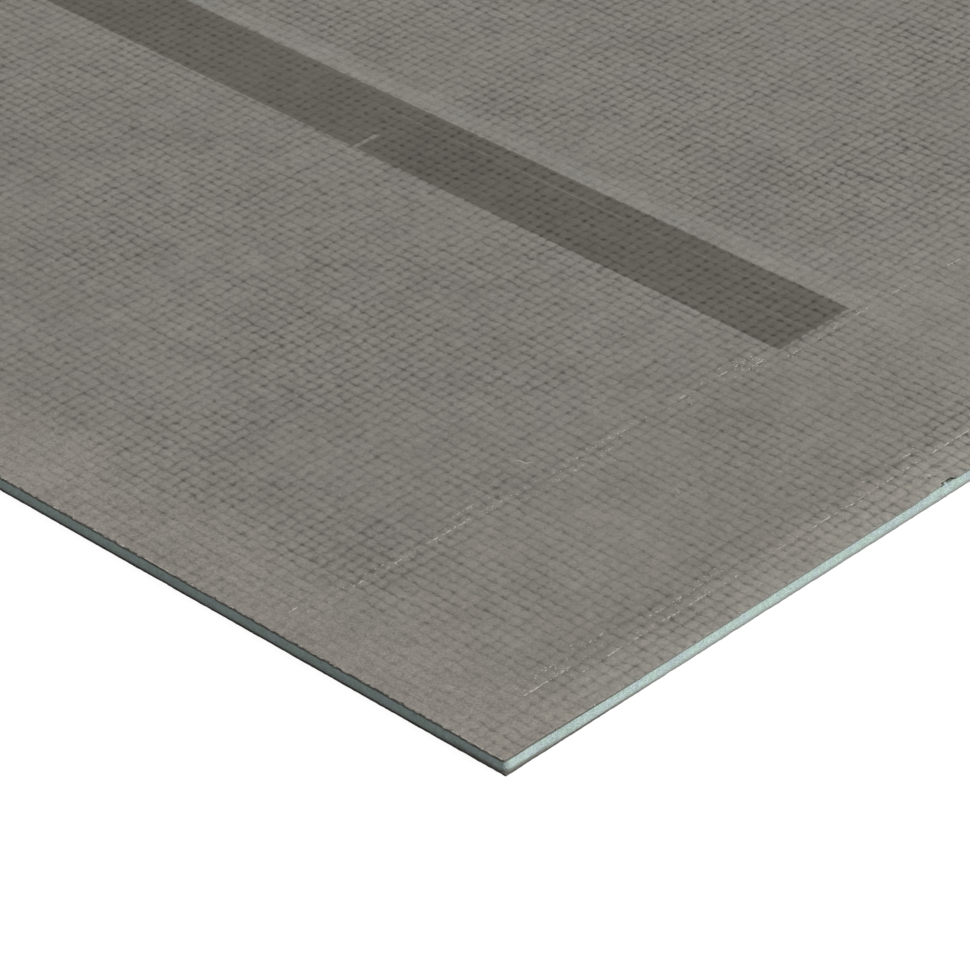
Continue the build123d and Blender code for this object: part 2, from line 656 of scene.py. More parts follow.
# %% Group: lighter borders
def borders(vector):
    x, y, _ = axes(vector)
    from_end = HALF_LENGTH - abs(x)
    from_edge = HALF_WIDTH - abs(y)
    loose = (noise(vector, 40.0) - 0.5) * 20.0
    far_end = fade(x, 420.0, 560.0) * fade(y, -140.0, 30.0)
    return {
        "Edge": fade(from_edge + loose, 60.0, 12.0),
        "End": fade(from_end + loose, 125.0, 70.0),
        "Rim": fade(from_end, 26.0, 6.0) * fade(from_edge + loose, 60.0, 12.0, 1.0, 0.12),
        "Arris": fade(maths("MINIMUM", from_end, from_edge), 2.2, 0.5),
        "Far": maximum(far_end, fade(y, 10.0, 70.0, 0.0, 0.48)),
    }


lighter_borders = make_group("Lighter borders", borders)

# %% Group: cut foam
CELL = 0.55  # size of the foam's cells


def sawn_cells(vector, green=(0.5, 0.7, 0.62), blue=(0.5, 0.68, 0.66)):
    cells = add_node("TexVoronoi", {"Vector": vector, "Scale": 1.0 / CELL})
    walls = fade(cells["Distance"], 0.15, 0.75)
    bright, deep, _ = axes(cells["Color"])
    shade = bright * 0.26 + walls * 0.12 + 0.82
    for size, weight in ((1.8, 0.40), (6.0, 0.34), (26.0, 0.26)):
        shade = shade + (noise(vector, size) - 0.5) * weight
    teal = blend(fade(noise(vector, 4.5, 3.0, 0.6), 0.43, 0.59), green, blue)
    return {"Colour": times(teal, vector_of(shade, shade, shade)), "Height": walls * 0.6 + deep * 0.4}


cut_foam = make_group("Cut foam", sawn_cells)

# %% [markdown]
# A few marks can be told apart in the photograph: a nub of cement with its shadow painted beside it,
# pinholes, two yarns that show darker than their neighbours, and two broad faint painted shadows. Each is
# an oval with a place, two radii and a strength, gathered in one group.

# %% Group: marks at known places
# The dark marks round the nub at the start of this list are its painted shadow, and the two broad ones at
# the end are painted shadows too
DARK_MARKS = (  # x, y, radius along x, radius along y, strength
    (641.8, -83.1, 1.0, 0.8, 0.55), (643.5, -81.9, 1.0, 0.9, 0.70), (644.2, -79.7, 0.9, 0.9, 0.45),
    (641.3, -73.6, 1.2, 1.1, 0.50), (278.0, -63.0, 0.8, 0.8, 0.70), (344.0, -71.0, 0.8, 0.8, 0.70),
    (323.0, -136.0, 0.9, 0.9, 0.75), (521.0, -135.0, 0.8, 0.8, 0.65), (499.0, -83.0, 0.8, 0.8, 0.65),
    (372.0, -216.0, 0.8, 0.8, 0.65), (590.0, -222.0, 0.8, 0.8, 0.60), (217.0, -113.0, 1.3, 27.0, 0.30),
    (619.0, -161.0, 1.2, 28.0, 0.28), (232.0, -143.0, 40.0, 34.0, 0.08), (430.0, -108.0, 40.0, 30.0, 0.05),
)
PALE_MARKS = (
    (642.2, -80.5, 1.1, 1.1, 0.95), (628.3, -99.0, 0.6, 1.0, 0.40), (629.3, -121.0, 0.6, 0.8, 0.50),
    (647.2, -72.4, 0.6, 0.8, 0.60),
)


def ovals(vector):
    x, y, _ = axes(vector)
    uneven = (noise(vector, 1.2) - 0.5) * 0.9

    def oval(mark_x, mark_y, radius_x, radius_y, strength):
        across, along = (x - mark_x) / radius_x, (y - mark_y) / radius_y
        apart = maths("SQRT", across * across + along * along)
        return fade(apart + uneven, 1.0, 0.25, 0.0, strength)

    return {
        "Dark": maximum(*(oval(*mark) for mark in DARK_MARKS)),
        "Pale": maximum(*(oval(*mark) for mark in PALE_MARKS)),
    }


known_marks = make_group("Known marks", ovals)

# %% [markdown]
# ## Materials
#
# Each material places the groups above and feeds one Principled BSDF. All of these finishes are
# matt, so their roughness is high and only varies a little with the grain. On the face bump
# carries the grain alone, because the weave there is real geometry.

# %% Printed face cement
FACE_TONE = (0.2155, 0.2020, 0.1815)
BLACK = (0.0, 0.0, 0.0)
GRIT = (0.45, 0.43, 0.40)
PORE = (0.06, 0.056, 0.05)
WHITE_SAND = (0.50, 0.48, 0.45)
PINHOLE = (0.03, 0.028, 0.025)
SHADED = (0.045, 0.042, 0.036)
NUB = (0.42, 0.40, 0.34)
INK_GAIN = (0.524, 0.512, 0.490)
MESH_DARK = {"Along": 0.285, "Across": 0.250, "Spots": 0.125}
SMOOTH_GRAIN = (0.3, 0.7, 0.78, 0.92)  # heights of the grain, and the roughness that goes with them


def printed_face(place):
    weave = add_node("UVMap", {}, place.tree, uv_map="Weave")[0]
    bed = add_node("Attribute", {}, place.tree, attribute_name="Bed")["Vector"]
    border = lighter_borders(place)
    printed = printed_stripe(place)
    ink, smooth = printed["Ink"], printed["Smooth band"]
    marks = known_marks(place)
    cement = cloudy_cement(place, FACE_TONE, 0.50, border["Edge"] * 0.38 + 0.80)
    thin = fade(maximum(border["End"], border["Edge"]), 0.0, 1.0, 1.65, 1.30)
    grid = mesh_grid(place, weave, bed, thin)

    # The borders and the smooth band are a little lighter
    tone = cement["Colour"]
    for share, gain in (
        (border["Far"] * (1.0 - smooth * 0.6), (1.10, 1.105, 1.11)),
        (border["Edge"], (1.10, 1.085, 1.075)),
        (border["Rim"], (1.28, 1.29, 1.28)),
        (border["End"], (1.01, 1.01, 1.0)),
        (border["Arris"], (1.13, 1.15, 1.16)),
        (smooth, (1.085, 1.113, 1.108)),
    ):
        tone = blend(share, tone, times(tone, gain))

    # The mesh: hardly there in the smooth band, and under the ink more spots than lines
    bare = 1.0 - smooth * 0.45
    for name, share in (("Along", -0.38), ("Across", -0.38), ("Spots", 1.95)):
        tone = blend(grid[name] * (ink * share + bare) * MESH_DARK[name], tone, BLACK)

    # Grit, pores and sand under the ink, then pinholes and the known marks over it, painted shadows among
    # them
    sandy = border["Edge"] * 0.34 + 0.22
    tone = paint_over(
        tone,
        (dots(place, 2.3, 0.36, 0.35) * sandy, GRIT),
        (dots(place, 2.9, 0.42, 0.40) * sandy, PORE),
        (dots(place, 8.0, 0.42, 0.55) * 0.55, WHITE_SAND),
    )
    holes = dots(place, 17.0, 0.55, 0.45)
    tone = paint_over(
        blend(ink, tone, times(tone, INK_GAIN)),
        (holes * 0.60, PINHOLE),
        (marks["Dark"], SHADED),
        (marks["Pale"], NUB),
    )
    return tone, fade(cement["Height"], *SMOOTH_GRAIN), cement["Height"] - holes


face_cement = make_material("Face cement", 0.25, 0.10, printed_face)


# %% Sawn cement along the edges
FLECK = (0.40, 0.37, 0.33)
END_DUST = (0.30, 0.325, 0.305)
GRIME = (0.075, 0.077, 0.066)
# painted shade in the broken bite, on the sawn cement
BITE_GRIME = (0.040, 0.038, 0.028)
SAWN_GRAIN = (0.3, 0.7, 0.82, 0.95)


def near_bite(place, reach):
    """Where shade is painted in the broken bite on the sawn end: 1 close to it and 0 away from it, with a
    gap in the middle.
    """
    x, y, z = axes(place)
    inside = fade(abs(y - (BITE_MIDDLE + 0.9)), reach, reach - 0.6) * fade(HALF_LENGTH - x, 3.5, 2.5)
    gap = fade(abs(y - (BITE_MIDDLE + 0.4)), 0.35, 0.8, 0.25, 1.0)
    crumbs = fade(noise(place, 0.7), 0.36, 0.50, 0.55, 1.0)
    return inside * fade(z, 2.0, 3.0) * crumbs * gap


def sawn_cement(place, tone, fleck_share, dust, grime):
    """The cut through a coat, with flecks of glass, dust on the +X end, a darker patch at its near corner,
    and painted shade in the bite.
    """
    x, y, _ = axes(place)
    from_end = HALF_LENGTH - x
    from_near = y + HALF_WIDTH
    cement = cloudy_cement(place, tone, 0.9, 1.1)
    shown = paint_over(
        cement["Colour"],
        (dots(place, 2.3, 0.5, fleck_share) * 0.7, FLECK),
        (fade(from_end, 5.0, 1.0) * fade(from_near, 30.0, 85.0) * dust, END_DUST),
        # darker along the +X end next to the near corner
        (fade(from_end, 3.0, 1.5) * fade(from_near, 65.0, 38.0) * grime, GRIME),
        # painted shade in the bite
        (near_bite(place, 3.9), BITE_GRIME),
    )
    return shown, fade(cement["Height"], *SAWN_GRAIN), cement["Height"]


SAWN_FACE = (0.190, 0.192, 0.169)
SAWN_BACK = (0.116, 0.113, 0.102)
sawn_face = make_material("Sawn face coat", 0.2, 0.25, sawn_cement, SAWN_FACE, 0.14, 0.30, 0.56)
sawn_back = make_material("Sawn back coat", 0.2, 0.25, sawn_cement, SAWN_BACK, 0.05, 0.80, 0.15)


# %% The plain underside
def underside(place):
    """The same cement and mesh as the face, with no print."""
    weave = add_node("Mapping", {"Vector": place, "Scale": (1.0 / PITCH_X, 1.0 / PITCH_Y, 1.0)})[0]
    depths = [fade(noise(place, size), 0.30, 0.62, 0.35, 1.0) for size in (31.0, 37.0, 43.0)]
    grid = mesh_grid(place, weave, vector_of(*depths))
    cement = cloudy_cement(place, FACE_TONE, 0.50, 0.50)
    holes = dots(place, 12.0, 0.6, 0.6)
    mesh_coats = [(grid[name] * dark, BLACK) for name, dark in MESH_DARK.items()]
    tone = paint_over(cement["Colour"], *mesh_coats, (holes * 0.6, PINHOLE))
    sunk = cement["Height"] - maximum(grid["Along"], grid["Across"]) - holes
    return tone, fade(cement["Height"], *SMOOTH_GRAIN), sunk


back_cement = make_material("Back cement", 0.25, 0.12, underside)


# %% Foam
FOAM_GREEN = (0.433, 0.556, 0.505)
FOAM_BLUE = (0.440, 0.534, 0.534)
PIT = (0.20, 0.31, 0.28)
TORN_CELL = (0.64, 0.68, 0.67)
CEMENT_DUST = (0.33, 0.345, 0.32)
SMEAR = (0.175, 0.172, 0.145)
# painted shade on the foam in the bite
CRUSHED = (0.055, 0.052, 0.040)


def sawn_foam(place):
    """Cut cells, greyer towards the bottom, with painted shade low down near the corner and in the bite.
    """
    x, y, z = axes(place)
    from_end = HALF_LENGTH - x
    foam = cut_foam(place, FOAM_GREEN, FOAM_BLUE)
    pits = dots(place, 2.6, 0.42, 0.35)
    from_corner = maximum(from_end, y + HALF_WIDTH)
    # painted shade low on the foam near the near corner
    smeared = fade(noise(place, 3.0) * 1.6 + z, 3.5, 2.0, 0.0, 0.85) * fade(from_corner, 34.0, 12.0)
    tone = paint_over(
        foam["Colour"],
        (pits * 0.35, PIT),
        (dots(place, 2.1, 0.50, 0.22) * 0.45, TORN_CELL),
        # greyer and darker towards the bottom
        (fade(z, 2.3, 1.0, 0.0, 0.55), CEMENT_DUST),
        (smeared, SMEAR),
        # painted shade on the foam in the bite
        (near_bite(place, 3.6) * fade(from_end, 0.45, 0.85) * 0.88, CRUSHED),
    )
    return tone, fade(foam["Height"], 0.2, 0.8, 0.60, 0.80), foam["Height"] - pits


teal_foam = make_material("Teal foam", 0.3, 0.12, sawn_foam)

# %% Glass yarn
CLEAN_GLASS = (0.405, 0.39, 0.345)
DUSTY_GLASS = (0.235, 0.22, 0.19)


def white_glass(place):
    """White glass yarn, with cement dust on it."""
    dusty = noise(place, 1.6, 3.0, 0.7)
    tone = blend(fade(dusty, 0.45, 0.68), CLEAN_GLASS, DUSTY_GLASS)
    return tone, fade(dusty, 0.3, 0.7, 0.45, 0.85), dusty


glass_yarn = make_material("Glass yarn", 0.5, 0.06, white_glass)

# %% [markdown]
# ## Turning arrays into pieces
#
# The shapes are worked out as arrays of points, which is quick for hundreds of thousands of them. One
# helper turns arrays into a Blender object, hangs it on the frame's body and stores what the materials
# read, which is the weave's coordinates and the strengths. A second UV map, OFBake, lays each large piece
# out flat and neatly.

# %% Helper that makes a piece
def triangles_of(piece):
    """How many triangles a piece has."""
    return sum(len(p.vertices) - 2 for p in piece.data.polygons)


def rows_of(row, count):
    """One row, repeated."""
    return np.tile(row, (count, 1))


def make_piece(name, points, faces, materials, slot, kinds=None, normals=None, uvs=None, bed=None,
               replaces=()):
    """Makes a mesh object from points in millimetres, and ties it to the frame.

    kinds gives each face the number of its material. normals and uvs have a row for each corner.
    """
    mesh = bpy.data.meshes.new(name)
    mesh.from_pydata((np.asarray(points) * MM).tolist(), [], faces)
    for material in materials:
        mesh.materials.append(material)
    if kinds is not None:
        mesh.polygons.foreach_set("material_index", np.asarray(kinds, np.int32))
    for layer, uv in (uvs or {}).items():
        mesh.uv_layers.new(name=layer).data.foreach_set("uv", np.asarray(uv, np.float32).ravel())
    if bed is not None:
        stored = mesh.attributes.new("Bed", "FLOAT_VECTOR", "POINT")
        stored.data.foreach_set("vector", np.asarray(bed, np.float32).ravel())
    if normals is not None:
        mesh.polygons.foreach_set("use_smooth", np.ones(len(mesh.polygons), bool))
        mesh.normals_split_custom_set(np.asarray(normals, np.float32).tolist())
    mesh.update()
    piece = new_object(name, mesh)
    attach(piece, "root")
    if replaces:
        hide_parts(*replaces)
    print(f"{name} with {triangles_of(piece)} triangles")


# %% [markdown]
# ## The face coat, in ten panels
#
# The face is one sheet of cement, but a single mesh of it would be too heavy for one piece. It
# is split along the bottoms of grooves into ten panels, where a join can't be seen. Each panel
# is a closed solid: the weave on top, a flat underside on the foam, and walls between them. The
# normals come from the whole face, so the shading runs across the joins without a break.

# %% Build the panels
SPLITS_X = (52, 105, 157, 210)  # numbers of the yarns that panels meet at
SPLITS_Y = (63,)


def split_lines(splits, count):
    """First and last vertex line of each panel. The bottom of yarn n is vertex line 2 + 3n."""
    cuts = [0] + [2 + 3 * n for n in splits] + [count - 1]
    return list(zip(cuts[:-1], cuts[1:]))


def panel(name, i0, i1, j0, j1):
    """One closed panel of the face between two pairs of vertex lines."""
    def part(field):
        return field[i0:i1 + 1, j0:j1 + 1].reshape(-1, field.shape[-1])

    top = part(grid_points)
    index = np.arange(len(top)).reshape(i1 - i0 + 1, j1 - j0 + 1)
    loop = np.concatenate([index[:-1, 0], index[-1, :-1], index[:0:-1, -1], index[0, :0:-1]])
    around = len(loop)
    base = top[loop].copy()
    base[:, 2] = FACE_BOTTOM
    middle = np.array([[top[:, 0].mean(), top[:, 1].mean(), FACE_BOTTOM]])
    points = np.concatenate([top, base, middle])

    low = len(top) + np.arange(around)
    after = np.roll(np.arange(around), -1)
    quads = np.stack([index[:-1, :-1], index[1:, :-1], index[1:, 1:], index[:-1, 1:]], -1).reshape(-1, 4)
    walls = np.stack([low, low[after], loop[after], loop], -1)
    fan = np.stack([np.full(around, len(points) - 1), low[after], low], -1)
    above = quads.ravel()

    along = top[loop[after]] - top[loop]
    outward = unit(np.stack([along[:, 1], -along[:, 0], np.zeros(around)], -1))
    down = rows_of([0.0, 0.0, -1.0], 3 * around)
    normals = np.concatenate([part(normal)[above], np.repeat(outward, 4, axis=0), down])

    # The walls and the underside are hidden, so one spot of each map is enough for them
    start, end = top[:, :2].min(0), top[:, :2].max(0)
    sheet = ((top[:, :2] - start) / (end - start))[above] * [0.99, 0.98] + 0.005
    uvs = {
        "Weave": np.concatenate([part(grid_weave)[above], rows_of([0.5, 0.5], 7 * around)]),
        "OFBake": np.concatenate([sheet, rows_of([0.5, 0.997], 7 * around)]),
    }
    bed = np.concatenate([part(strengths), np.zeros((around + 1, 3))])
    make_piece(name, points, quads.tolist() + walls.tolist() + fan.tolist(), [face_cement],
               "face_cement", None, normals, uvs, bed, ("face_coat",))


for row, (j0, j1) in enumerate(split_lines(SPLITS_Y, len(line_y)), start=1):
    for column, (i0, i1) in enumerate(split_lines(SPLITS_X, len(line_x)), start=1):
        panel(f"face_panel_{column}_{row}", i0, i1, j0, j1)

# %% [markdown]
# ## Rings for the sawn edges
#
# The board was cut with a saw, which tears the cement and the glass. A straight extruded edge
# would look like plastic, so the last 2.4 mm of the face coat is modelled as rings that run
# round the board, with a point about every half millimetre. Each ring is pushed in by its own
# noise, which gives teeth, chips and nibs. Coarser rings make the foam and the back coat.

# %% Stations round the outline
BITE_LINE = ((-1.00, 0.00), (-0.84, 0.24), (-0.44, 0.33), (-0.33, 0.92), (0.02, 0.84),
             (0.38, 1.00), (0.70, 0.90), (0.86, 0.30), (1.00, 0.00))
CORNER_STEPS = np.array([0.1, 0.2, 0.4, 0.7, 1.0, 1.4, 1.9, 2.4])
SQUEEZE = 6.0  # how far from a corner the stations draw in for the inner rings


def stations(spacing):
    """Places along both directions of the outline, closer together at the bite and corners."""
    def side(half, fine=()):
        even = np.linspace(-half, half, int(round(2 * half / spacing)) + 1)
        keep = even[np.abs(even) < half - 2.6]
        corner = half - CORNER_STEPS
        return np.unique(np.concatenate([[-half, half], keep, corner, -corner, fine]).round(4))

    def line(x, y):
        return np.stack(np.broadcast_arrays(x, y), -1)[:-1]

    bite = BITE_MIDDLE + np.linspace(-1.3, 1.3, 66) * BITE_HALF
    xs, ys, ys_bite = side(HALF_LENGTH), side(HALF_WIDTH), side(HALF_WIDTH, bite)
    return np.concatenate([
        line(xs, -HALF_WIDTH), line(HALF_LENGTH, ys_bite),
        line(xs[::-1], HALF_WIDTH), line(-HALF_LENGTH, ys[::-1]),
    ])


def inner_of(outline, width):
    """The same stations on a sharp rectangle that lies inside the outline by a width."""
    start = np.array([HALF_LENGTH, HALF_WIDTH]) - SQUEEZE
    past = np.abs(outline) - start
    short = start + past * (SQUEEZE - width) / SQUEEZE
    return np.where(past > 0, np.sign(outline) * short, outline)


def rounded(outline, radius):
    """The stations with the corners rounded."""
    centre = np.array([HALF_LENGTH, HALF_WIDTH]) - radius
    past = np.abs(outline) - centre
    corner = (past > 0).all(axis=1)[:, None]
    arc = centre + radius * unit(np.where(corner, past, 1.0))
    return np.where(corner, np.sign(outline) * arc, outline)


def round_length(outline):
    """How far along the outline each station is, up to the first one again."""
    step = np.linalg.norm(np.roll(outline, -1, axis=0) - outline, axis=1)
    return np.concatenate([[0.0], np.cumsum(step)])


def edge(spacing, width, radius):
    """Stations, their inner line, and two functions for noise and for rings along them."""
    outline = stations(spacing)
    inner = inner_of(outline, width)
    outer = rounded(outline, radius)
    length = round_length(outline)[:-1]

    def rough(size, seed, shift=0.0):
        """Noise from 0 to 1 along the edge."""
        return cloud(length + shift, np.full_like(length, 7.0 * seed), size, 50.0, 100 + seed)

    def ring(inset, level):
        """A ring at a distance inside the rounded outline, at a height."""
        share = np.broadcast_to(inset / width, len(outer))[:, None]
        return np.column_stack([outer + (inner - outer) * share, np.broadcast_to(level, len(outer))])

    print(f"{len(outline)} stations {spacing} mm apart")
    return outline, inner, rough, ring


# %% Normals and the bake map of rings
def ring_normals(rings, quads, groups, caps):
    """A normal for each corner. Strips of one group share theirs, so they shade as one surface."""
    a, b, c, d = (rings.reshape(-1, 3)[quads[..., k]] for k in range(4))
    facing = unit(np.cross(c - a, d - b))
    strips = len(quads)
    corner = np.empty((*quads.shape, 3))
    for k in range(strips):
        before = [k - 1] if (k > 0 or not caps) and groups[k - 1] == groups[k] else []
        beyond = [k + 1] if k + 1 < strips and groups[k + 1] == groups[k] else []
        for mates, (first, second) in (([k] + before, (0, 3)), ([k] + beyond, (1, 2))):
            total = sum(facing[m] for m in mates)
            shared = unit(total + np.roll(total, 1, axis=0))
            corner[k, :, first] = shared
            corner[k, :, second] = np.roll(shared, -1, axis=0)
    return corner


def ring_sheet(rings, strips, rows, caps):
    """A bake map that cuts the long ring into rows, and lays them one above another."""
    along = round_length(rings[len(rings) // 2][:, :2])
    along = along / along[-1] * rows
    row = np.floor(along[:-1] * 0.99999)
    starts, ends = ((along[part] - row) * 0.98 + 0.01 for part in (slice(0, -1), slice(1, None)))
    depth = np.linalg.norm(np.diff(rings, axis=0), axis=-1).mean(1).cumsum()
    depth = np.concatenate([[0.0], depth] if caps else [[0.0], depth, [depth[-1] * 1.02]])
    depth = depth / depth[-1]
    sheet = np.empty((strips, len(row), 4, 2))
    for k in range(strips):
        for n, (place, line) in enumerate(((starts, k), (starts, k + 1), (ends, k + 1), (ends, k))):
            sheet[k, :, n, 0] = place
            sheet[k, :, n, 1] = (row + 0.06 + 0.88 * depth[line]) / rows * (0.99 if caps else 1.0)
    return sheet.reshape(-1, 2)


# %% Helper that makes rings into a piece
def ring_piece(name, rings, groups, kinds, materials, slot, rows, replaces, caps=True,
               weave=None, bed=None, first_normals=None, flat_below=False):
    """Makes closed rings of points, listed from the top inwards round to the bottom, into a piece.

    groups and kinds give each strip between two rings its group of normals and its material.
    With caps the first and last ring are filled, and without them the last ring joins the first.
    """
    rings = np.asarray(rings)
    count, around = rings.shape[:2]
    strips = count - 1 if caps else count
    index = np.arange(count * around).reshape(count, around)
    upper, lower = index[:strips], np.roll(index, -1, axis=0)[:strips]
    quads = np.stack([upper, lower, np.roll(lower, -1, axis=1), np.roll(upper, -1, axis=1)], -1)
    corner = ring_normals(rings, quads, groups, caps)
    if first_normals is not None:
        corner[0] = first_normals
    points = rings.reshape(-1, 3)
    faces = quads.reshape(-1, 4).tolist()
    used = quads.ravel()
    normals = corner.reshape(-1, 3)
    kinds = np.repeat(kinds, around)
    sheet = ring_sheet(rings, strips, rows, caps)
    if caps:
        centres = [[0.0, 0.0, rings[0, :, 2].mean()], [0.0, 0.0, rings[-1, :, 2].mean()]]
        middle = np.full(around, len(points))
        points = np.concatenate([points, centres])
        fans = np.concatenate([
            np.stack([middle, index[0], np.roll(index[0], -1)], -1),
            np.stack([middle + 1, np.roll(index[-1], -1), index[-1]], -1),
        ])
        faces += fans.tolist()
        used = np.concatenate([used, fans.ravel()])
        up_and_down = np.repeat([[0.0, 0.0, 1.0], [0.0, 0.0, -1.0]], 3 * around, axis=0)
        normals = np.concatenate([normals, up_and_down])
        kinds = np.concatenate([kinds, np.zeros(2 * around, int)])
        sheet = np.concatenate([sheet, rows_of([0.5, 0.995], 6 * around)])
    if flat_below:
        # The underside gets half of the bake map, and the rim's rows lie above it
        down = normals[:, 2] < -0.99
        flat = points[used[down], :2] / (2 * HALF_LENGTH, 2 * HALF_WIDTH) + 0.5
        sheet[:, 1] = 0.52 + 0.47 * sheet[:, 1]
        sheet[down] = 0.005 + flat * [0.99, 0.50]
    cells = rows_of([0.5, 0.5], len(used)) if weave is None else weave[used]
    uvs = {"Weave": cells, "OFBake": sheet}
    make_piece(name, points, faces, materials, slot, kinds, normals, uvs, bed, replaces)


# %% [markdown]
# ## The rim of the face coat
#
# The first ring lies exactly on the panels' border and takes its heights from there. The next
# ones follow the same grooves outwards to the arris, which is worn down a little and chipped.
# Below the arris the broken cement slopes back unevenly to the foam. At the bite all the outer
# rings draw in along the broken line.

# %% How far the rim is torn and worn
ARRIS_ROUND = 0.8  # radius of the upright corners
TORN = (1.25, 0.32)  # how far the saw tears the cement out, on the long edges and on the ends
CHIPPED = (1.3, 0.6)
WORN_DOWN = (0.34, 0.06)
CORNER_LOSS = 0.95  # how far the near corner is worn back
CLEAR = 0.02  # keeps everything inside the CAD box

outline, inner, rough, ring = edge(0.55, RIM_WIDTH, ARRIS_ROUND)
station_x, station_y = outline.T
long_side = np.abs(station_y) > HALF_WIDTH - 0.01
right_end = station_x > HALF_LENGTH - 0.01

share, depth = np.array(BITE_LINE).T
bite = np.interp(station_y, BITE_MIDDLE + share * BITE_HALF, depth * BITE_DEPTH, 0.0, 0.0)
taper = 0.42 * np.clip((station_y + 97.0) / 11.0, 0.0, 1.0) * (station_y < -83.0)
bite = np.where(right_end, np.maximum(bite, taper), 0.0)

teeth = np.clip(rough(1.3, 1) * 0.7 + rough(0.7, 2) * 0.3 - 0.3, 0.0, 1.0)
chips = np.clip(rough(3.2, 3) - 0.62, 0.0, None) * np.where(long_side, *CHIPPED)
torn_out = np.where(long_side, *TORN) * teeth + chips * (bite < 0.5)
# The near corner has lost a little cement, mostly on the end
lost = np.where(long_side, (650.0 - station_x) / 3.0, (station_y + 285.0) / 45.0)
lost = CORNER_LOSS * (1 - np.clip(lost, 0.0, 1.0)) * (station_x > 600.0) * (station_y < -200.0)
torn_out = np.maximum(torn_out, lost * (0.8 + 0.4 * rough(1.5, 12)))
arris = bite + CLEAR + torn_out
lower = bite + CLEAR + 0.35 * torn_out + 0.45 * lost
worn = 0.03 + 0.14 * rough(0.9, 4) * rough(6.0, 5) + 0.10 * (bite > 0.5)
worn += np.where(long_side, *WORN_DOWN) * np.clip(rough(1.6, 10) - 0.4, 0.0, 1.0)
print(f"cement torn out by up to {torn_out.max():.2f} mm and worn down by up to {worn.max():.2f} mm")

# %% Build the rim
on_long_border = np.abs(np.abs(inner[:, 1]) - INNER_Y) < 1e-6


def read(field):
    """A value of the panels, read along their outer border at the stations."""
    low, high = (np.interp(inner[:, 0], place_x[:, k], field[:, k]) for k in (0, -1))
    left, far = (np.interp(inner[:, 1], place_y[k], field[k]) for k in (0, -1))
    on_short = np.where(inner[:, 0] < 0, left, far)
    return np.where(on_long_border, np.where(inner[:, 1] < 0, low, high), on_short)


def read_all(field):
    """The same for a field with several values at each point."""
    return np.column_stack([read(field[..., k]) for k in range(field.shape[-1])])


border = read(height)
room = RIM_WIDTH - arris
coat = FACE_TOP - FACE_BOTTOM
rim_rings = [ring(inset, level) for inset, level in (
    (RIM_WIDTH, border),
    (arris + room * 0.45, border - 0.01 * rough(2.0, 6)),
    (arris + room * 0.13, border - worn * 0.35),
    (arris, border - worn - 0.04),
    (arris * 0.5 + lower * 0.5 + 0.12 * rough(0.8, 7), FACE_TOP - 0.50 * coat),
    (lower + 0.12 * rough(1.0, 8), FACE_TOP - 0.75 * coat),
    (lower + 0.10 * rough(1.2, 9), FACE_BOTTOM),
    (RIM_WIDTH, FACE_BOTTOM),
)]
weave_u, weave_v = read_all(grid_weave).T
rim_weave = np.concatenate([np.column_stack([
    np.where(on_long_border, weave_u, line[:, 0] / PITCH_X + 0.5),
    np.where(on_long_border, line[:, 1] / PITCH_Y, weave_v),
]) for line in rim_rings])
facing = unit(read_all(normal))
following = np.roll(facing, -1, axis=0)
ring_piece(
    "face_rim", rim_rings, [0, 0, 1, 2, 2, 2, 3, 4], [0, 0, 0, 1, 1, 1, 1, 1],
    [face_cement, sawn_face], "face_cement", 20, ("face_coat",), False, rim_weave,
    rows_of(read_all(strengths), len(rim_rings)), np.stack([facing, facing, following, following], axis=1),
)

# %% [markdown]
# ## The foam core
#
# Foam cuts cleanly, so its sides are nearly flat, with a faint wave from the saw and a fine
# grain of opened cells. The upright corners are rubbed round. Under the bite the top is crushed
# into a small bowl, the same piece of a sphere that the CAD model takes out.

# %% Build the foam core
BOWL_PLACE = (HALF_LENGTH + 1.5321, BITE_MIDDLE + 1.0)
BOWL_RADIUS = 5.2262
BOWL_DEPTH = 0.9
FOAM_RING = 3.0
SIDE_ROWS = 7


def bowl_floor(points):
    """Height of the crushed bowl's floor, or the core's top outside it."""
    apart = np.hypot(points[:, 0] - BOWL_PLACE[0], points[:, 1] - BOWL_PLACE[1])
    drop = np.sqrt(np.clip(BOWL_RADIUS**2 - apart**2, 0.0, None))
    return np.minimum(CORE_TOP, CORE_TOP + BOWL_RADIUS - BOWL_DEPTH - drop)


_, _, rough, ring = edge(1.2, FOAM_RING, 2.8)
insets = [(inset, 0.0) for inset in (FOAM_RING, 1.6, 1.2, 0.8, 0.4)]
for n, share in enumerate(np.linspace(0.0, 1.0, SIDE_ROWS)):
    saw_wave = 0.17 + 0.08 * rough(9.0, 20) + 0.04 * rough(2.4, 21, 1.5 * n)
    insets.append((saw_wave + 0.08 * rough(1.3, 22 + n), share))
foam_rings = []
for inset, share in insets:
    line = ring(inset, CORE_TOP)
    top = bowl_floor(line)
    line[:, 2] = top + (CORE_BOTTOM - top) * share
    foam_rings.append(line)
foam_rings.append(ring(FOAM_RING, CORE_BOTTOM))
foam_groups = [0] * 5 + [1] * (SIDE_ROWS - 1) + [2]
ring_piece("foam_slab", foam_rings, foam_groups, [0] * len(foam_groups), [teal_foam], "foam", 22,
           ("foam_core",))

# %% [markdown]
# ## The back coat
#
# The underside has the same cement and mesh, but it is pressed flat, so its weave is left to the
# material's bump. Its sawn rim is as ragged as the face's and shows as a dark line under the
# foam.

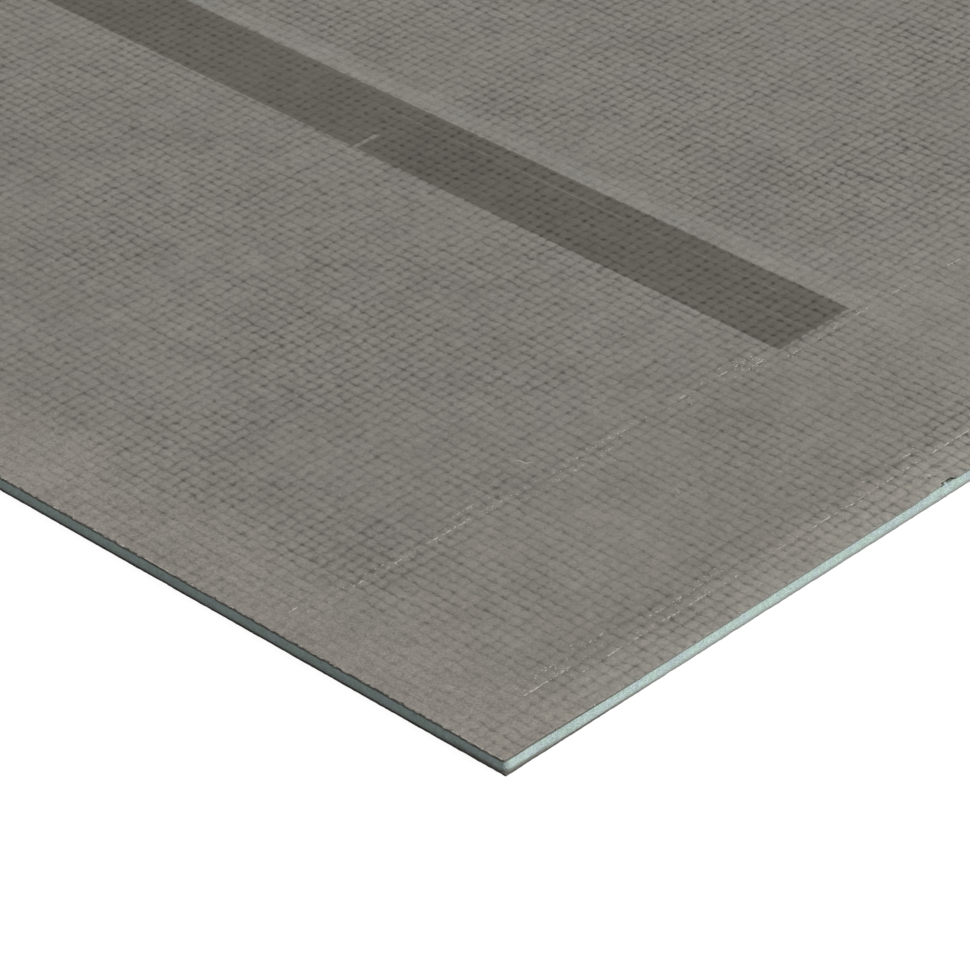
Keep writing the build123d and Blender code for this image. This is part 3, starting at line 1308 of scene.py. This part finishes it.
# %% Build the back coat
_, _, rough, ring = edge(0.75, RIM_WIDTH, 0.4)
torn = 0.02 + 0.30 * rough(1.4, 40) * rough(5.0, 41) + 0.10 * rough(0.8, 42)
back_rings = [ring(inset, level) for inset, level in (
    (RIM_WIDTH, BACK_TOP),
    (torn + 0.05 + 0.10 * rough(1.0, 43), BACK_TOP),
    (torn + 0.02, BACK_TOP * (0.80 + 0.10 * rough(1.3, 44))),
    (torn, BACK_TOP * 0.42),
    (torn + 0.04 + 0.08 * rough(0.9, 45), 0.08),
    (torn + 0.35, 0.0),
    (RIM_WIDTH, 0.0),
)]
ring_piece("back_layer", back_rings, [0, 1, 1, 1, 2, 3], [1, 1, 1, 1, 1, 0], [back_cement, sawn_back],
           "back_cement", 20, ("back_coat",), flat_below=True)

# %% [markdown]
# ## Bare yarns
#
# In a few places the cement is so thin that a cross yarn of the mesh lies bare. It shows as a
# thin pale line, broken wherever the yarn dips under. A curve with a bevel could draw it, but it
# would be a perfect wire. Instead each yarn is a low strip with an arched section, whose height
# rises and sinks with noise, so the cement itself hides it where it sinks.

# %% Helpers for yarns on the face
YARN_TOP = FACE_TOP - 0.012
YARN_SECTION = ((-0.5, -0.35), (-0.36, 0.55), (0.0, 1.0), (0.36, 0.55), (0.5, -0.35))


def yarn_strip(x, y, level, width, lift, dip=0.0):
    """Points and faces of an arched strip along a line, whose two ends dip."""
    line = np.column_stack([x, y])
    level = np.ones(len(line)) * level
    level[[0, -1]] -= dip
    ahead = unit(np.gradient(line, axis=0))
    side = np.column_stack([-ahead[:, 1], ahead[:, 0]])
    width = np.broadcast_to(width, len(line))
    rows = [np.column_stack([line + side * (across * width)[:, None], level + rise * lift])
            for across, rise in YARN_SECTION]
    index = np.arange(len(line) * len(rows)).reshape(-1, len(rows))
    faces = []
    for a, b in zip(index.T, np.roll(index, -1, axis=1).T):
        faces += np.stack([a[:-1], a[1:], b[1:], b[:-1]], -1).tolist()
    faces += [index[0].tolist(), index[-1][::-1].tolist()]
    return np.stack(rows, axis=1).reshape(-1, 3), faces


def yarn_piece(name, strips):
    """Joins strips into one piece of glass yarn."""
    points, faces, start = [], [], 0
    for strip_points, strip_faces in strips:
        points.append(strip_points)
        faces += [[v + start for v in face] for face in strip_faces]
        start += len(strip_points)
    make_piece(name, np.concatenate(points), faces, [glass_yarn], "face_cement")


def line_noise(places, size, seed):
    """Noise from 0 to 1 along a line."""
    return cloud(places, np.zeros(len(places)), size, 50.0, seed)


# %% Lay the bare yarns
BARE_YARNS = (  # x at the first y, x at the last y, first y, last y, and how much of it is bare
    (553.6, 553.2, -30.0, 14.0, 0.47), (554.3, 554.3, -58.0, -36.0, 0.40),
    (555.8, 555.9, 34.0, 44.0, 0.42), (549.4, 549.5, -58.0, -79.0, 0.48),
    (549.2, 549.2, -98.0, -104.0, 0.50), (548.8, 548.8, -140.0, -192.0, 0.39),
    (544.6, 544.3, -60.0, -98.0, 0.48), (544.3, 543.9, -98.0, -128.0, 0.38),
    (543.9, 543.6, -128.0, -200.0, 0.45), (543.6, 543.2, -200.0, -258.0, 0.57),
    (543.2, 542.7, -258.0, -287.0, 0.55), (538.2, 538.2, -190.0, -212.0, 0.38),
    (538.0, 538.0, -278.0, -290.0, 0.46), (633.7, 633.9, -44.0, -59.0, 0.55),
    (633.9, 633.8, -59.0, -76.0, 0.46), (633.8, 633.8, -76.0, -85.0, 0.58),
    (633.9, 634.0, -85.0, -122.0, 0.44), (634.0, 633.9, -122.0, -133.0, 0.56),
    (633.9, 634.0, -133.0, -196.0, 0.48), (633.9, 633.8, -196.0, -220.0, 0.48),
    (633.8, 633.8, -220.0, -236.0, 0.60), (633.8, 633.8, -236.0, -252.0, 0.45),
    (628.8, 628.8, -74.0, -82.0, 0.52), (628.8, 628.8, -173.0, -210.0, 0.49),
    (628.9, 629.2, -230.0, -245.5, 0.45), (629.2, 629.1, -245.5, -258.0, 0.68),
    (629.1, 629.3, -258.0, -270.5, 0.66), (624.1, 624.1, -226.0, -234.0, 0.42),
    (624.3, 624.3, -250.0, -272.0, 0.50),
)
YARN_LIFT = 0.06  # how far a yarn's crown stands above its sides
YARN_SINK = 0.16  # how far it dips under where it isn't bare


def bare_yarn(x0, x1, y0, y1, bare, seed):
    """One bare yarn as an arched strip that dips at every yarn that it passes under."""
    steps = max(int(abs(y1 - y0) / 0.33), 8)
    y = np.linspace(y0, y1, steps)
    x = np.linspace(x0, x1, steps)
    x = x + 0.6 * (line_noise(y, 9.0, seed) - 0.5) + 0.55 * (line_noise(y, 1.7, seed + 1) - 0.5)
    show = 0.38 * line_noise(y, 8.0, seed + 2) + 0.62 * line_noise(y, 1.1, seed + 3)
    show = show + 0.12 * np.cos(2 * np.pi * (y / PITCH_Y - 0.5))
    crest = np.clip((show - (1.03 - bare)) * 4.5, -1.0, 1.0)
    ends = np.clip(np.minimum(np.arange(steps), np.arange(steps)[::-1]) / 3.0, 0.0, 1.0)
    crest = np.minimum(crest, 2 * ends - 1.0)
    level = YARN_TOP - YARN_LIFT - YARN_SINK * (1 - crest) / 2
    return yarn_strip(x, y, level, 0.36 + 0.40 * line_noise(y, 1.6, seed + 4), YARN_LIFT)


yarn_piece("bare_yarns", [bare_yarn(*given, 300 + 10 * n) for n, given in enumerate(BARE_YARNS)])

# %% [markdown]
# Where a yarn was rubbed open its glass filaments stand loose in short curls. The sawn edges
# show the cut ends of the yarns as pale stubs, and here and there a whole yarn lies along the
# arris. These are the same arched strips, only thinner or shorter.

# %% Loose filaments
FILAMENT_LIFT = 0.035
FRAYED = (  # place, spread, number of filaments and the longest of them
    (545.6, -66.0, 1.8, 3.8, 18, 2.4), (549.3, -68.0, 1.6, 6.0, 10, 2.0),
    (553.6, -30.0, 1.6, 18.0, 7, 1.6), (544.6, -100.0, 1.4, 22.0, 14, 1.3),
    (543.8, -156.0, 1.4, 4.0, 12, 1.2), (543.8, -137.0, 1.2, 4.0, 10, 1.2),
    (549.0, -149.0, 2.0, 3.0, 7, 1.2), (541.6, -215.0, 1.5, 30.0, 16, 1.3),
    (628.0, -75.0, 2.4, 6.0, 8, 1.6), (633.6, -110.0, 1.6, 30.0, 16, 1.5),
    (629.5, -190.0, 3.2, 40.0, 18, 1.5), (626.0, -250.0, 2.6, 18.0, 12, 1.5),
)
SINGLE = (  # ones that can be told apart in the photograph: width, and places along each
    (0.44, (529.3, -170.2), (530.9, -169.6), (533.2, -169.4), (534.0, -168.2), (534.4, -166.6)),
    (0.24, (579.8, -145.0), (582.5, -145.6), (586.1, -147.5)),
    (0.26, (627.6, -99.8), (628.1, -98.6), (628.9, -97.6)),
    (0.34, (629.0, -121.8), (629.4, -120.8), (629.6, -120.2)),
)


def filament(x, y, width):
    """A filament that lies on the face, with its ends pressed in."""
    return yarn_strip(x, y, YARN_TOP - FILAMENT_LIFT, width, FILAMENT_LIFT, 0.05)


def curl(x, y, heading, length, bend, width, seed):
    """A short filament that bends as it goes."""
    steps = max(int(length / 0.35), 5)
    turn = np.linspace(0.0, bend, steps) + 0.5 * (line_noise(np.arange(steps), 3.0, seed) - 0.5)
    stride = length / (steps - 1)
    xs = x + np.cumsum(np.cos(heading + turn)) * stride
    ys = y + np.cumsum(np.sin(heading + turn)) * stride
    return filament(xs, ys, width)


draw = np.random.default_rng(77)
filaments = []
for x, y, spread_x, spread_y, number, longest in FRAYED:
    for _ in range(number):
        where = x + draw.normal() * spread_x, y + draw.normal() * spread_y
        heading = math.radians(90 + draw.normal() * 42)
        filaments.append(curl(*where, heading, draw.uniform(0.4, longest), draw.normal() * 1.1,
                              draw.uniform(0.18, 0.34), int(draw.integers(1000))))
# Specks of glass scattered along the bare yarns
for x0, x1, y0, y1, bare in BARE_YARNS:
    for _ in range(int(abs(y1 - y0) * 0.42)):
        share = draw.random()
        where = x0 + (x1 - x0) * share + draw.normal() * 0.8, y0 + (y1 - y0) * share
        filaments.append(curl(*where, draw.uniform(0.0, 3.1), draw.uniform(0.25, 0.75), 0.0,
                              draw.uniform(0.28, 0.48), int(draw.integers(1000))))
for width, *places in SINGLE:
    along = np.linspace(0.0, len(places) - 1.0, 4 * len(places))
    line = [np.interp(along, np.arange(len(places)), values) for values in zip(*places)]
    filaments.append(filament(*line, width))
yarn_piece("loose_filaments", filaments)

# %% Cut yarn ends, and yarns that lie along the arris
ALONG_ARRIS = (  # first x, last x
    (478.0, 490.5), (465.5, 468.0), (452.0, 454.0), (431.0, 433.5), (404.0, 406.0), (368.0, 369.6),
    (338.0, 339.2), (640.5, 648.2), (629.8, 639.6), (625.5, 628.5), (573.0, 575.5), (521.0, 522.5),
    (-120.0, -108.0), (-402.0, -396.0), (55.0, 59.0),
)
ARRIS_LIFT = 0.065


def cut_end(x, y, outward, size, level, tilt):
    """A stub of yarn that ends at the sawn edge. outward points away from the board."""
    reach = np.array([-1.1, -0.7, -0.35, 0.0]) * size[0] - 0.02 - 0.5 * size[1] * abs(tilt)
    return yarn_strip(
        x + outward[0] * reach - outward[1] * reach * tilt,
        y + outward[1] * reach + outward[0] * reach * tilt,
        np.array([level - 0.08, level, level, level]), size[1] * np.array([0.4, 0.9, 1.0, 0.8]), size[2])


stubs = []
for on_edge, places, half, chance in (
    (True, (np.arange(-131, 131) + 0.5) * PITCH_X, HALF_WIDTH, 0.30),
    (False, np.arange(-63, 64) * PITCH_Y, HALF_LENGTH, 0.16),
):
    for sign in (-1, 1):
        for place in places:
            if draw.random() > chance:
                continue
            if not on_edge and abs(place - BITE_MIDDLE) < BITE_HALF + 2:
                continue
            at = place + draw.normal() * 0.3
            x, y = (at, sign * half) if on_edge else (sign * half, at)
            outward = (0.0, sign) if on_edge else (sign, 0.0)
            size = (draw.uniform(0.6, 1.3), draw.uniform(0.35, 0.75), draw.uniform(0.04, 0.07))
            level = YARN_TOP - size[2] - draw.uniform(0.0, 0.05)
            stubs.append(cut_end(x, y, outward, size, level, draw.normal() * 0.35))
for x0, x1 in ALONG_ARRIS:
    # The ones far to the right can be told apart in the photograph, on the near edge alone
    for sign in (-1,) if x0 > 300 else (-1, 1):
        x = np.linspace(x0, x1, max(int((x1 - x0) / 0.4), 5))
        y = sign * (HALF_WIDTH - 0.36 - 0.30 * line_noise(x, 2.5, 60))
        level = YARN_TOP - ARRIS_LIFT - 0.001 - 0.03 * line_noise(x, 1.5, 61)
        stubs.append(yarn_strip(x, y, level, 0.38 + 0.2 * line_noise(x, 1.8, 62), ARRIS_LIFT, 0.08))
yarn_piece("yarn_ends", stubs)

# %% [markdown]
# ## The boxes
#
# The dressed board is built to stay inside the CAD model's box. Both boxes are printed.

# %% Print the boxes
new_low, new_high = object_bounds()
total = sum(triangles_of(o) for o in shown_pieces())
print("visual box in metres:", [round(v, 5) for v in new_low], [round(v, 5) for v in new_high])
